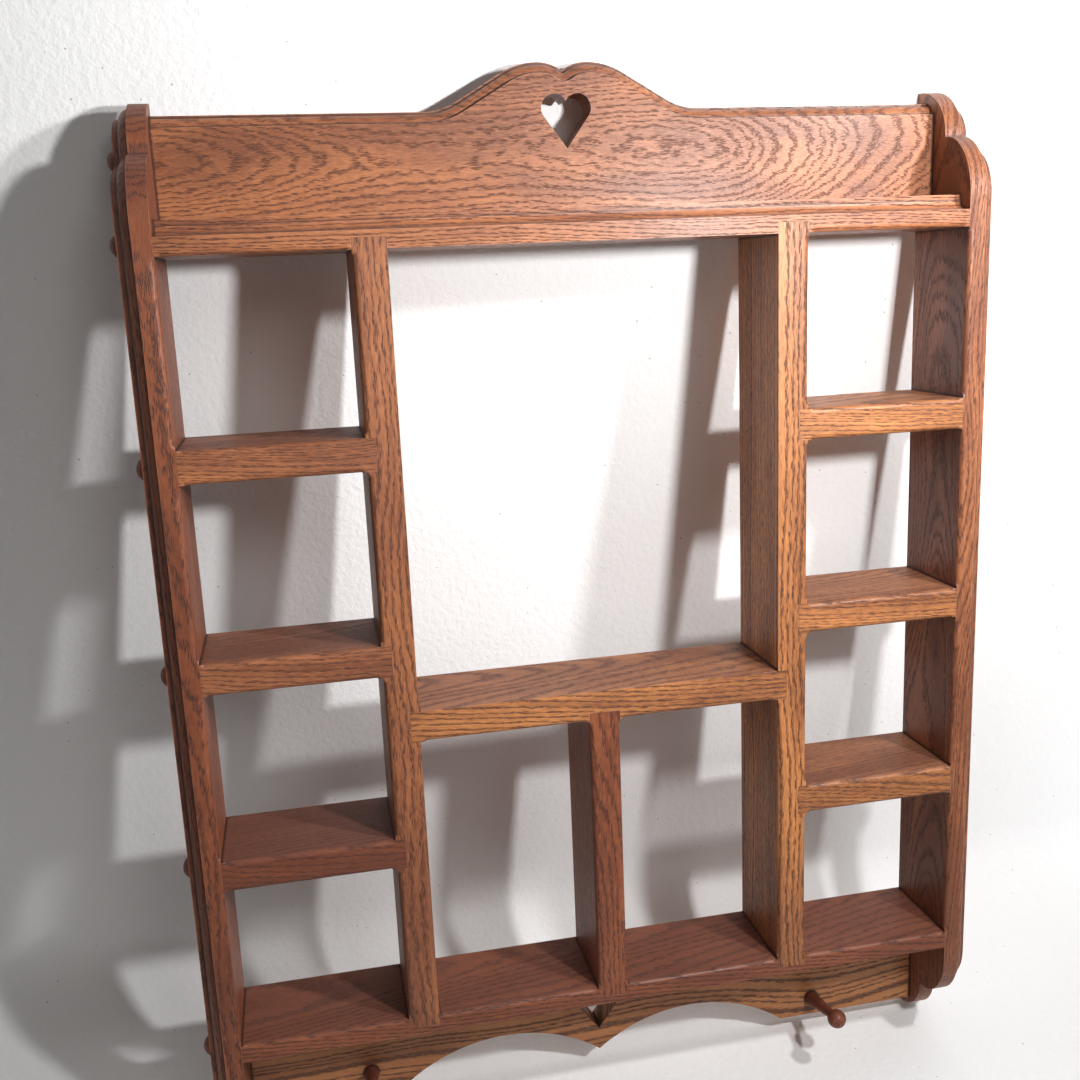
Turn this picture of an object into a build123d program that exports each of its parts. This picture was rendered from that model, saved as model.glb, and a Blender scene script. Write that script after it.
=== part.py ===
from build123d import *
from math import asin, atan2, degrees, hypot, radians, sqrt, acos, sin, cos
import os

# A wall-hung shadow box shelf in oak: two lobed side panels, a crest rail with a heart cut-out,
# two columns of square bays beside a tall centre bay, and an apron rail with two peg hooks.
# Millimetres. X runs to the right, Y into the wall and Z up. The wall is the plane Y = 0.
# The origin lies on the back of the crest rail, midway between the keyholes, at the height of
# the two wall screws.
os.makedirs("parts", exist_ok=True)

# Boards and bays
board = 19.05
depth = 63.5
bay_width = 101.6
bay_height = 101.6
bays_per_column = 4
centre_width = 224.0
tall_bay_height = 263.85

# Housings, the grooves that take the ends of shelves and uprights
upright_housing = 6.35
shelf_housing = 5.5

# Side panels: a short front lobe and a tall back lobe at each end, with a notch between
panel_above = 65.0
panel_below = 68.35
notch_setback = 30.0
front_lobe_height = 36.0
back_lobe_height = 30.0

# Moulded edges: a square step, a bead with a small lip either side, and a ledge
bead = 5.0
lip = 0.5
panel_step = 3.1
panel_ledge = 2.75
crest_step = 3.1
crest_ledge = 1.6
shelf_ledge = 5.4
top_shelf_step = 3.4
bottom_shelf_step = 2.2

# Rounding-over bit that runs round the small bays on a bearing
rounding = 3.175
bearing = 6.35
clear_of_wood = 1.0

# Crest rail: heights are above the top shelf
crest_shoulder = 57.3
crest_peak = 83.7
peak_spread = 14.5
crown_radius = 24.7
brow_radius = 44.0
sweep_radius = 38.0
sweep_slope = 30.0
crest_heart_tip = 34.8

# Apron rail: heights are above its straight lower edge
apron_drop = 58.15
arch_spread = 65.5
arch_rise = 23.5
arch_radius = 107.7
apron_heart_tip = 17.1

# Heart cut-out
heart_height = 30.4
heart_lobe_radius = 7.9
heart_lobe_spread = 6.9

# Keyholes in the back of the crest rail, on studs 16 inches apart
keyhole_spacing = 406.4
hang_height = 25.4
keyhole_entry_radius = 4.76
keyhole_neck_radius = 2.4
keyhole_depth = 9.5
keyhole_lip = 5.0
keyhole_travel = 12.7

# Turned buttons, each plugging the counterbore over a screw through a side panel
counterbore_radius = 4.76
counterbore_depth = 9.5
button_tenon = 5.8
button_head_radius = 6.35
button_crown_radius = 3.6
button_rim = 2.0
button_height = 5.3
screw_setback = 25.4
screw_below_middle = 2.5
crest_screw_height = 34.0
apron_screw_drop = 29.0

# Turned pegs, set into the apron rail on a slant
peg_spread = 156.0
peg_rise = 12.8
peg_tilt = 14.0
peg_base_radius = 4.76
peg_neck_radius = 2.8
peg_ball_radius = 6.2
peg_reach = 42.2
peg_tenon = 12.0

# Places across the width, worked out from the sizes above
divider_inner = centre_width / 2
divider_outer = divider_inner + board
panel_inner = divider_outer + bay_width
panel_outer = panel_inner + board
rail_front = -board
front = -depth

# Levels, from the top down
shelf_top = -hang_height
column_height = bays_per_column * bay_height + (bays_per_column - 1) * board
inside_top = shelf_top - board
inside_bottom = inside_top - column_height
centre_shelf_top = inside_top - tall_bay_height
centre_shelf_bottom = centre_shelf_top - board
underside = inside_bottom - board
panel_top = shelf_top + panel_above
panel_bottom = underside - panel_below
apron_bottom = underside - apron_drop
bay_pitch = bay_height + board
column_shelf_tops = [inside_top - bay_height - bay_pitch * n for n in range(bays_per_column - 1)]
screw_line = front + screw_setback
rail_middle = -board / 2
apron_middle = (underside + apron_bottom) / 2

made = {}


def finish(name, builder):
    """Names a finished piece and writes it."""
    builder.part.label = name
    export_step(builder.part, f"parts/{name}.step")
    made[name] = builder.part


def block(low, high, mode=Mode.ADD):
    """A rectangular block between two opposite corners, in the part being built."""
    size = [b - a for a, b in zip(low, high)]
    with Locations(tuple((a + b) / 2 for a, b in zip(low, high))):
        Box(*size, mode=mode)


def moulding_waste(at_front, at_face, ledge, step, down):
    """Section that a moulding bit takes off an arris; down is -1 for an upper arris, 1 for a lower."""
    back = at_front + ledge + bead
    deep = at_face + down * (step + bead)
    Polyline(
        (at_front + ledge, deep),
        (at_front + ledge, deep + down * lip),
        (at_front - clear_of_wood, deep + down * lip),
        (at_front - clear_of_wood, at_face - down * clear_of_wood),
        (back + lip, at_face - down * clear_of_wood),
        (back + lip, at_face + down * step),
        (back, at_face + down * step),
    )
    RadiusArc((back, at_face + down * step), (at_front + ledge, deep), -down * bead)


def rounding_ring(left, right, bottom, top):
    """What a bearing-guided rounding-over bit clears round the front edge of one bay.

    The bearing can't follow a square corner. It is taken to cut straight across each one,
    where its own round would, so the cut fades out there and leaves the wood crisp.
    """
    across = bearing * (2 - sqrt(2))
    with BuildLine(Plane.XZ.offset(depth)) as path:
        Polyline(
            (left + across, bottom),
            (right - across, bottom),
            (right, bottom + across),
            (right, top - across),
            (right - across, top),
            (left + across, top),
            (left, top - across),
            (left, bottom + across),
            close=True,
        )
    with BuildPart() as ring:
        with BuildSketch(Plane(origin=path.line @ 0, x_dir=(0, 0, -1), z_dir=path.line % 0)):
            with BuildLine():
                Polyline(
                    (rounding, 0),
                    (rounding, -clear_of_wood),
                    (-clear_of_wood, -clear_of_wood),
                    (-clear_of_wood, rounding),
                    (0, rounding),
                )
                CenterArc((rounding, rounding), rounding, start_angle=180, arc_size=90)
            make_face()
        sweep(path=path.line, transition=Transition.RIGHT)
    return ring.part


def heart(tip):
    """Closed outline of a heart standing on its tip, drawn in the line being built."""
    centre = (heart_lobe_spread, tip + heart_height - heart_lobe_radius)
    away = hypot(heart_lobe_spread, centre[1] - tip)
    lean = atan2(heart_lobe_spread, centre[1] - tip) + asin(heart_lobe_radius / away)
    straight = sqrt(away**2 - heart_lobe_radius**2)
    shoulder = (straight * sin(lean), tip + straight * cos(lean))
    cleft = 180 - degrees(acos(heart_lobe_spread / heart_lobe_radius))
    Line((0, tip), shoulder)
    CenterArc(centre, heart_lobe_radius, -degrees(lean), cleft + degrees(lean))
    mirror(about=Plane.YZ)


def panel_outline(inset):
    """Closed outline of a side panel, drawn in from every edge but the wall edge."""
    face = front + inset
    notch = front + notch_setback
    upper_notch = panel_top - back_lobe_height
    lower_notch = panel_bottom + back_lobe_height
    back_lobe_depth = depth - notch_setback
    front_radii = (notch_setback - inset, front_lobe_height - inset)
    back_radii = (back_lobe_depth - inset, back_lobe_height - inset)
    Line((0, panel_bottom + inset), (0, panel_top - inset))
    EllipticalCenterArc((0, upper_notch), *back_radii, start_angle=90, arc_size=90)
    if inset:
        CenterArc((notch, upper_notch), inset, start_angle=270, arc_size=90)
    EllipticalCenterArc(
        (notch, upper_notch - front_lobe_height), *front_radii, start_angle=90, arc_size=90
    )
    Line((face, upper_notch - front_lobe_height), (face, lower_notch + front_lobe_height))
    EllipticalCenterArc(
        (notch, lower_notch + front_lobe_height), *front_radii, start_angle=180, arc_size=90
    )
    if inset:
        CenterArc((notch, lower_notch), inset, start_angle=0, arc_size=90)
    EllipticalCenterArc((0, lower_notch), *back_radii, start_angle=180, arc_size=90)


def crest_outline(inset):
    """Closed outline of the crest rail, drawn in from its shaped upper edge."""
    slope = radians(sweep_slope)
    peak = shelf_top + crest_peak
    shoulder = shelf_top + crest_shoulder
    brow_centre = (peak_spread, peak - brow_radius)
    brow = brow_radius - inset
    brow_end = (brow_centre[0] + brow * sin(slope), brow_centre[1] + brow * cos(slope))
    sweep_in = sweep_radius + inset
    fall = brow_end[1] - (shoulder + sweep_radius - sweep_in * cos(slope))
    sweep_end = (brow_end[0] + fall / sin(slope) * cos(slope), brow_end[1] - fall)
    sweep_centre = (sweep_end[0] + sweep_in * sin(slope), shoulder + sweep_radius)
    crown_centre = (peak_spread, peak - crown_radius)
    crown_fall = degrees(asin(peak_spread / crown_radius))
    cleft = crown_centre[1] + sqrt(crown_radius**2 - peak_spread**2)
    Line((0, shelf_top), (panel_inner, shelf_top))
    Line((panel_inner, shelf_top), (panel_inner, shoulder - inset))
    Line((panel_inner, shoulder - inset), (sweep_centre[0], shoulder - inset))
    CenterArc(sweep_centre, sweep_in, start_angle=270, arc_size=-sweep_slope)
    Line(sweep_end, brow_end)
    CenterArc(brow_centre, brow, start_angle=90 - sweep_slope, arc_size=sweep_slope)
    CenterArc(crown_centre, crown_radius - inset, start_angle=90, arc_size=crown_fall)
    if inset:
        CenterArc((0, cleft), inset, start_angle=270, arc_size=crown_fall)
    mirror(about=Plane.YZ)


# Every small bay has its front edge rounded over; the tall centre bay is left square
column_bays = []
for shelf_level in [inside_top] + [top - board for top in column_shelf_tops]:
    column_bays.append(
        rounding_ring(divider_outer, panel_inner, shelf_level - bay_height, shelf_level)
    )
lower_bay = rounding_ring(board / 2, divider_inner, inside_bottom, centre_shelf_bottom)


def rounded_over(rings):
    """Takes the bit's waste off the part being built, on both sides of the middle."""
    for ring in rings:
        add(ring, mode=Mode.SUBTRACT)
        add(mirror(ring, about=Plane.YZ, mode=Mode.PRIVATE), mode=Mode.SUBTRACT)


# Where the screws and their buttons lie on a side panel, as (Y, Z)
screw_spots = [(rail_middle, shelf_top + crest_screw_height)]
for level in [shelf_top] + column_shelf_tops + [inside_bottom]:
    screw_spots.append((screw_line, level - board / 2 - screw_below_middle))
screw_spots.append((rail_middle, underside - apron_screw_drop))


# Side panels, built up in layers so that each layer's edge is one part of the moulding
panel_moulding = panel_step + bead + lip
with BuildPart() as side_panel_right:
    with BuildSketch(Plane.YZ.offset(panel_inner)):
        with BuildLine():
            panel_outline(0)
        make_face()
    extrude(amount=board - panel_moulding)
    with BuildSketch(Plane.YZ.offset(panel_outer - panel_moulding)):
        with BuildLine():
            panel_outline(panel_ledge)
        make_face()
    extrude(amount=bead + lip)
    outer_edges = side_panel_right.edges().group_by(Axis.X)[-1]
    fillet(outer_edges.filter_by_position(Axis.Y, front, 0, inclusive=(True, False)), radius=bead)
    with BuildSketch(Plane.YZ.offset(panel_outer - panel_step)):
        with BuildLine():
            panel_outline(panel_ledge + bead + lip)
        make_face()
    extrude(amount=panel_step)
    for y, z in screw_spots:
        with Locations(Plane(origin=(panel_outer, y, z), z_dir=(1, 0, 0))):
            Hole(counterbore_radius, depth=counterbore_depth)
    rounded_over(column_bays)
finish("side_panel_right", side_panel_right)

# Crest rail, layered from the back like the side panels
crest_moulding = crest_step + bead + lip
with BuildPart() as crest_rail:
    with BuildSketch(Plane.XZ):
        with BuildLine():
            crest_outline(0)
        make_face()
    extrude(amount=board - crest_moulding)
    with BuildSketch(Plane.XZ.offset(board - crest_moulding)):
        with BuildLine():
            crest_outline(crest_ledge)
        make_face()
    extrude(amount=bead + lip)
    front_edges = crest_rail.edges().group_by(Axis.Y)[0]
    lower_edge_and_ends = 3
    fillet(front_edges.sort_by(Axis.Z)[lower_edge_and_ends:], radius=bead)
    with BuildSketch(Plane.XZ.offset(board - crest_step)):
        with BuildLine():
            crest_outline(crest_ledge + bead + lip)
        make_face()
    extrude(amount=crest_step)
    with BuildSketch(Plane.XZ):
        with BuildLine():
            heart(shelf_top + crest_heart_tip)
        make_face()
    extrude(amount=board, mode=Mode.SUBTRACT)
    for side in (-1, 1):
        entry = side * keyhole_spacing / 2
        with BuildSketch(Plane.XZ):
            with Locations((entry, -keyhole_travel)):
                Circle(keyhole_entry_radius)
            with Locations((entry, -keyhole_travel / 2)):
                SlotCenterToCenter(keyhole_travel, keyhole_neck_radius * 2, rotation=90)
        extrude(amount=keyhole_lip, mode=Mode.SUBTRACT)
        with BuildSketch(Plane.XZ.offset(keyhole_lip)):
            with Locations((entry, -keyhole_travel / 2)):
                SlotCenterToCenter(keyhole_travel, keyhole_entry_radius * 2, rotation=90)
        extrude(amount=keyhole_depth - keyhole_lip, mode=Mode.SUBTRACT)
finish("crest_rail", crest_rail)

# Top shelf, housed for the uprights, with its upper front edge moulded
with BuildPart() as top_shelf:
    block((-panel_inner, front, inside_top), (panel_inner, 0, shelf_top))
    with BuildSketch(Plane.YZ.offset(-panel_inner)):
        with BuildLine():
            moulding_waste(front, shelf_top, shelf_ledge, top_shelf_step, -1)
        make_face()
    extrude(amount=panel_inner * 2, mode=Mode.SUBTRACT)
    housing_top = inside_top + upright_housing
    for low_x in (-divider_outer, divider_inner):
        block((low_x, front, inside_top), (low_x + board, 0, housing_top), Mode.SUBTRACT)
    rounded_over(column_bays[:1])
finish("top_shelf", top_shelf)

# Bottom shelf, housed for three uprights, with its lower front edge moulded
with BuildPart() as bottom_shelf:
    block((-panel_inner, front, underside), (panel_inner, 0, inside_bottom))
    with BuildSketch(Plane.YZ.offset(-panel_inner)):
        with BuildLine():
            moulding_waste(front, underside, shelf_ledge, bottom_shelf_step, 1)
        make_face()
    extrude(amount=panel_inner * 2, mode=Mode.SUBTRACT)
    housing_floor = inside_bottom - upright_housing
    for low_x in (-divider_outer, -board / 2, divider_inner):
        block((low_x, front, housing_floor), (low_x + board, 0, inside_bottom), Mode.SUBTRACT)
    rounded_over(column_bays[-1:] + [lower_bay])
finish("bottom_shelf", bottom_shelf)

# Full-height divider, housed outside for the column's shelves and inside for the centre shelf
with BuildPart() as divider_right:
    block(
        (divider_inner, front, housing_floor),
        (divider_outer, 0, housing_top),
    )
    for level in column_shelf_tops:
        block(
            (divider_outer - shelf_housing, front, level - board),
            (divider_outer, 0, level),
            Mode.SUBTRACT,
        )
    block(
        (divider_inner, front, centre_shelf_bottom),
        (divider_inner + shelf_housing, 0, centre_shelf_top),
        Mode.SUBTRACT,
    )
    rounded_over(column_bays + [lower_bay])
finish("divider_right", divider_right)

# Centre shelf, housed below for the short upright
with BuildPart() as centre_shelf:
    reach = divider_inner + shelf_housing
    block((-reach, front, centre_shelf_bottom), (reach, 0, centre_shelf_top))
    block(
        (-board / 2, front, centre_shelf_bottom),
        (board / 2, 0, centre_shelf_bottom + shelf_housing),
        Mode.SUBTRACT,
    )
    rounded_over([lower_bay])
finish("centre_shelf", centre_shelf)

# Short upright under the centre shelf
with BuildPart() as centre_divider:
    block(
        (-board / 2, front, housing_floor),
        (board / 2, 0, centre_shelf_bottom + shelf_housing),
    )
    rounded_over([lower_bay])
finish("centre_divider", centre_divider)

# Shelves of the right column, housed in the divider and butted to the side panel
column_names = ["upper", "middle", "lower"]
for count, (name, level) in enumerate(zip(column_names, column_shelf_tops)):
    with BuildPart() as column_shelf:
        block((divider_outer - shelf_housing, front, level - board), (panel_inner, 0, level))
        rounded_over(column_bays[count : count + 2])
    finish(f"right_shelf_{name}", column_shelf)

# Peg: a tenon in the rail, a taper that leaves it on a slant, and a ball at the end
peg_foot = Plane(
    origin=(peg_spread, rail_front, apron_bottom + peg_rise),
    x_dir=(1, 0, 0),
    z_dir=(0, -cos(radians(peg_tilt)), sin(radians(peg_tilt))),
)
neck_height = peg_reach - sqrt(peg_ball_radius**2 - peg_neck_radius**2)
peg_section = Plane(origin=peg_foot.origin, x_dir=(1, 0, 0), z_dir=-peg_foot.y_dir)
with BuildPart() as peg:
    with BuildSketch(peg_section):
        with BuildLine():
            Polyline(
                (0, peg_reach + peg_ball_radius),
                (0, -peg_tenon),
                (peg_base_radius, -peg_tenon),
                (peg_base_radius, 0),
                (peg_neck_radius, neck_height),
            )
            ThreePointArc(
                (peg_neck_radius, neck_height),
                (peg_ball_radius, peg_reach),
                (0, peg_reach + peg_ball_radius),
            )
        make_face()
    revolve(axis=Axis(peg_foot.origin, peg_foot.z_dir))

with BuildPart() as pegs:
    add(peg.part)
    mirror(about=Plane.YZ)
finish("pegs", pegs)

# Apron rail: two arches that meet in a point, a heart, and slanted bores for the pegs
with BuildPart() as apron_rail:
    with BuildSketch(Plane.XZ):
        with Locations((0, apron_middle)):
            Rectangle(panel_inner * 2, apron_drop)
        for side in (-1, 1):
            with Locations((side * arch_spread, apron_bottom + arch_rise - arch_radius)):
                Circle(arch_radius, mode=Mode.SUBTRACT)
    extrude(amount=board)
    with BuildSketch(Plane.XZ):
        with BuildLine():
            heart(apron_bottom + apron_heart_tip)
        make_face()
    extrude(amount=board, mode=Mode.SUBTRACT)
    for side in (-1, 1):
        mouth = Plane(
            origin=(side * peg_spread, rail_front, apron_bottom + peg_rise), z_dir=peg_foot.z_dir
        )
        with BuildSketch(mouth.offset(-peg_tenon)):
            Circle(peg_base_radius)
        extrude(amount=peg_tenon * 2, mode=Mode.SUBTRACT)
finish("apron_rail", apron_rail)

# Button: a tenon that plugs the counterbore under a crowned head
with BuildPart() as button:
    with BuildSketch(Plane.XZ):
        with BuildLine():
            Polyline(
                (-button_tenon, 0),
                (-button_tenon, counterbore_radius),
                (0, counterbore_radius),
                (0, button_head_radius),
                (button_rim, button_head_radius),
                (button_height, button_crown_radius),
                (button_height, 0),
                close=True,
            )
        make_face()
    revolve(axis=Axis.X)

with BuildPart() as buttons_right:
    with Locations([(panel_outer, y, z) for y, z in screw_spots]):
        add(button.part)
finish("buttons_right", buttons_right)

# The left-hand pieces are the right-hand ones, mirrored
for name in [piece for piece in made if "right" in piece]:
    with BuildPart() as left_piece:
        mirror(made[name], about=Plane.YZ)
    finish(name.replace("right", "left"), left_piece)
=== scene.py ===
"""Shadow box shelf in stained oak: its boards' finishes, its buttons and screws, and the room."""

import logging
import math
from dataclasses import dataclass
from enum import Enum
from functools import partial
from typing import Iterable, Union

import bmesh
import bpy
from mathutils import Matrix, Vector

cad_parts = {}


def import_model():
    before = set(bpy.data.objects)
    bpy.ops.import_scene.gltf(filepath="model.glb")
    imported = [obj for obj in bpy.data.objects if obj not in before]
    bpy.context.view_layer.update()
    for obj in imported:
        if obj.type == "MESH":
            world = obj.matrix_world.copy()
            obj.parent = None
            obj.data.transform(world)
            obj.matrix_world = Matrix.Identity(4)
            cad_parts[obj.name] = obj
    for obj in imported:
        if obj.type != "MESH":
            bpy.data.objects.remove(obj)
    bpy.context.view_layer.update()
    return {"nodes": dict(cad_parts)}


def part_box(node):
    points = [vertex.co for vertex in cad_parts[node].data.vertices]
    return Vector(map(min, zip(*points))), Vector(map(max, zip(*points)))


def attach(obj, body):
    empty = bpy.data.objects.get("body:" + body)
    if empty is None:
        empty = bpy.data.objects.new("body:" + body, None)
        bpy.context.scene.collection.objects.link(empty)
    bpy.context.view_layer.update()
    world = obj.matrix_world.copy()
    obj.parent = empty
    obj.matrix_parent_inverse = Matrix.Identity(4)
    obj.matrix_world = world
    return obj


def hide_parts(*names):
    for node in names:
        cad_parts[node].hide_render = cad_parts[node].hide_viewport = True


LOG = logging.getLogger("shadow_box_shelf")
BODY = "root"
MM = 0.001
SAME_SPOT = 1e-6
ORIGIN = (0.0, 0.0, 0.0)
Colour = tuple[float, float, float, float]
Socket = bpy.types.NodeSocket
Sockets = dict[str, Socket]
Value = Union[Socket, float, Iterable[float]]


def shade(red: int, green: int, blue: int) -> Colour:
    """A colour as a paint chart gives it, 0 to 255, in the linear light that shaders use.

    Args:
        red: Red part.
        green: Green part.
        blue: Blue part.

    Returns:
        Linear red, green and blue, and an alpha of 1.
    """

    def linear(part: int) -> float:
        """One part of the colour in linear light."""
        share = part / 255
        return share / 12.92 if share <= 0.04045 else ((share + 0.055) / 1.055) ** 2.4

    return (linear(red), linear(green), linear(blue), 1.0)


class Grain(Enum):
    """Which way a board's grain runs."""

    ACROSS = (0.0, 0.0, 0.0)
    UPRIGHT = (0.0, -90.0, 0.0)

    def turn(self) -> tuple[float, ...]:
        """The turn, in radians, that lays a board's grain along the pattern's X."""
        return tuple(math.radians(angle) for angle in self.value)


@dataclass(frozen=True)
class Stain:
    """The colours that one stain gives the parts of the wood."""

    late: Colour
    deep: Colour
    early: Colour
    pore: Colour
    worn: Colour
    dust: Colour


@dataclass(frozen=True)
class Cut:
    """How a board was cut from the log, and what its surface has been through.

    Lengths are in millimetres. The heart of the tree lies at `heart`, measured from the middle
    of the board across its grain, and `lean` turns the trunk against the board, in degrees.
    Where the trunk was crooked, `sweep` adds pairs of a place along the board and the heart's
    distance behind its middle there. The rings are `spacing` apart, and bend by `wander` over
    a long stretch and by `ripple` over a short one. A higher `tone` makes a board darker, and a
    board's ends sit in their housings by `housing`. The rest are shares from 0 to 1.
    """

    grain: Grain
    heart: tuple[float, float]
    lean: tuple[float, float]
    seed: float
    sweep: tuple[tuple[float, float], ...] = ()
    spacing: float = 2.3
    wander: float = 14.0
    ripple: float = 1.1
    early: float = 0.62
    pores: float = 0.8
    fleck: float = 0.0
    wear: float = 0.75
    dust: float = 0.48
    tone: float = 0.0
    housing: float = 0.0


class Bench:
    """Adds nodes to one tree and joins them up."""

    mix_inputs = (0, 6, 7)
    mix_output = 2

    def __init__(self, tree: bpy.types.NodeTree) -> None:
        """Keeps the node tree of a material, a group or the world."""
        self.tree = tree

    def node(self, kind: str, **settings: str | int) -> bpy.types.Node:
        """Adds a node.

        Args:
            kind: The node's type.
            **settings: Values for the node's own properties.

        Returns:
            The new node.
        """
        made = self.tree.nodes.new(kind)
        for key, value in settings.items():
            setattr(made, key, value)
        return made

    def feed(self, socket: Socket, value: Value) -> None:
        """Links an output to a socket, or sets the socket's own value.

        Args:
            socket: The input to feed.
            value: An output, or a plain value.
        """
        if isinstance(value, Socket):
            self.tree.links.new(value, socket)
        else:
            socket.default_value = value

    def fed(self, kind: str, inputs: dict[str, Value], **settings: str | int) -> bpy.types.Node:
        """Adds a node and feeds its inputs.

        Args:
            kind: The node's type.
            inputs: Outputs or plain values for the inputs, by name.
            **settings: Values for the node's own properties.

        Returns:
            The new node.
        """
        made = self.node(kind, **settings)
        for name, value in inputs.items():
            self.feed(made.inputs[name], value)
        return made

    def in_order(self, made: bpy.types.Node, values: Iterable[Value]) -> None:
        """Feeds a node's inputs in the node's own order."""
        for socket, value in zip(made.inputs, values):
            self.feed(socket, value)

    def math(self, operation: str, *values: Value, clamp: bool = False) -> Socket:
        """A sum on numbers.

        Args:
            operation: The Math node's operation.
            *values: Numbers or outputs, in the node's order.
            clamp: Whether the result is kept from 0 to 1.

        Returns:
            The result's output.
        """
        made = self.node("ShaderNodeMath", operation=operation, use_clamp=clamp)
        self.in_order(made, values)
        return made.outputs[0]

    def vector(self, operation: str, *values: Value) -> Socket:
        """A sum on vectors.

        Args:
            operation: The Vector Math node's operation.
            *values: Vectors or outputs, in the node's order.

        Returns:
            The result's output, a number for a length or a dot product.
        """
        made = self.node("ShaderNodeVectorMath", operation=operation)
        self.in_order(made, values)
        return made.outputs["Value" if operation in ("LENGTH", "DOT_PRODUCT") else "Vector"]

    def parts(self, vector: Socket) -> tuple[Socket, ...]:
        """The three parts of a vector."""
        return tuple(self.fed("ShaderNodeSeparateXYZ", {"Vector": vector}).outputs)

    def join(self, *values: Value) -> Socket:
        """A vector of three numbers.

        Args:
            *values: Numbers or outputs.

        Returns:
            The vector's output.
        """
        made = self.node("ShaderNodeCombineXYZ")
        self.in_order(made, values)
        return made.outputs[0]

    def noise(self, point: Value, detail: float = 1.0, rough: float = 0.5) -> bpy.types.Node:
        """Noise on a point in the noise's own scale, with detail more octaves, each so rough."""
        inputs = {"Vector": point, "Scale": 1.0, "Detail": detail, "Roughness": rough}
        return self.fed("ShaderNodeTexNoise", inputs, noise_dimensions="3D")

    def noise_on_line(self, place: Socket, pace: float) -> Socket:
        """Plain noise about 0.5 that changes with one number, at the given pace."""
        line = self.join(self.math("MULTIPLY", place, pace), 0.5, 0.0)
        return self.noise(line, 0.0).outputs["Fac"]

    def cells(self, point: Value, scale: float = 1.0) -> bpy.types.Node:
        """Cells round scattered middles, with the distance and place of the nearest middle."""
        return self.fed("ShaderNodeTexVoronoi", {"Vector": point, "Scale": scale}, feature="F1")

    def step(
        self, value: Socket, low: Value, high: Value, start: float = 0.0, end: float = 1.0
    ) -> Socket:
        """A smooth step from start to end as the value goes from low to high."""
        inputs = {"Value": value, "From Min": low, "From Max": high, "To Min": start, "To Max": end}
        return self.fed("ShaderNodeMapRange", inputs, interpolation_type="SMOOTHSTEP").outputs[0]

    def mix(self, share: Value, first: Value, second: Value) -> Socket:
        """A blend of two colours.

        Args:
            share: The share of the second colour, 0 to 1.
            first: The first colour.
            second: The second colour.

        Returns:
            The blended colour's output.
        """
        made = self.node("ShaderNodeMix", data_type="RGBA")
        for index, value in zip(self.mix_inputs, (share, first, second)):
            self.feed(made.inputs[index], value)
        return made.outputs[self.mix_output]

    def relief(self, height: Socket, depth: float, strength: float = 1.0) -> Socket:
        """The normal of a face with a height on it, as a share of a depth in metres."""
        inputs = {"Height": height, "Distance": depth, "Strength": strength}
        return self.fed("ShaderNodeBump", inputs).outputs[0]


def new_material(name: str) -> tuple[bpy.types.Material, Bench]:
    """An empty node material.

    Args:
        name: The material's name.

    Returns:
        The material, and a bench on its tree.
    """
    made = bpy.data.materials.new(name)
    made.use_nodes = True
    made.node_tree.nodes.clear()
    return made, Bench(made.node_tree)


def new_object(name: str, data: bpy.types.ID) -> bpy.types.Object:
    """A new object in the scene.

    Args:
        name: The object's name.
        data: Its mesh, lamp or camera.

    Returns:
        The object.
    """
    made = bpy.data.objects.new(name, data)
    bpy.context.scene.collection.objects.link(made)
    return made


def new_mesh(name: str, work: bmesh.types.BMesh) -> bpy.types.Mesh:
    """Writes a bmesh to a new mesh and frees it.

    Args:
        name: The mesh's name.
        work: The bmesh.

    Returns:
        The mesh.
    """
    mesh = bpy.data.meshes.new(name)
    work.to_mesh(mesh)
    work.free()
    return mesh


class PatternGroup:
    """A shader node group, built once and placed in each material that needs it."""

    name: str = ""
    takes: dict[str, str] = {}
    gives: dict[str, str] = {}

    def __init__(self) -> None:
        """Makes the group's tree with its sockets, then its nodes."""
        self.tree = bpy.data.node_groups.new(self.name, "ShaderNodeTree")
        for direction, sockets in (("INPUT", self.takes), ("OUTPUT", self.gives)):
            for label, kind in sockets.items():
                self.tree.interface.new_socket(
                    name=label, in_out=direction, socket_type=f"NodeSocket{kind}"
                )
        bench = Bench(self.tree)
        inlet = bench.node("NodeGroupInput")
        outlet = bench.node("NodeGroupOutput")
        made = self.build(bench, {label: inlet.outputs[label] for label in self.takes})
        for label, value in made.items():
            bench.feed(outlet.inputs[label], value)

    def build(self, bench: Bench, takes: Sockets) -> Sockets:
        """Builds the group's nodes, which each pattern does in its own way.

        Args:
            bench: Works on the group's tree.
            takes: The group's inputs by name.

        Returns:
            The outputs by name.
        """
        raise NotImplementedError

    def place(self, bench: Bench, **values: Value) -> Sockets:
        """Places the group in another tree.

        Args:
            bench: Works on that tree.
            **values: Numbers or outputs for the group's inputs.

        Returns:
            The group node's outputs by name.
        """
        made = bench.node("ShaderNodeGroup")
        made.node_tree = self.tree
        for key, value in values.items():
            bench.feed(made.inputs[key], value)
        return {label: made.outputs[label] for label in self.gives}


class Vessels(PatternGroup):
    """The wood's vessels, each a thin stroke along the grain, and the middle of the nearest one.

    A pattern that is read at a vessel's middle colours the whole stroke alike, so its lines
    run in short steps along the grain as they do in oak.
    """

    name = "Vessels"
    takes = {"Point": "Vector"}
    gives = {"Middle": "Vector", "Distance": "Float", "Chance": "Float"}

    size = (4.2, 0.5, 0.5)

    def build(self, bench: Bench, takes: Sockets) -> Sockets:
        """Fills the log with cells the size of one vessel.

        Args:
            bench: Works on the group's tree.
            takes: The group's inputs by name.

        Returns:
            The outputs by name.
        """
        cells = bench.cells(bench.vector("DIVIDE", takes["Point"], self.size))
        return {
            "Middle": bench.vector("MULTIPLY", cells.outputs["Position"], self.size),
            "Distance": cells.outputs["Distance"],
            "Chance": bench.parts(cells.outputs["Color"])[0],
        }


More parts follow.
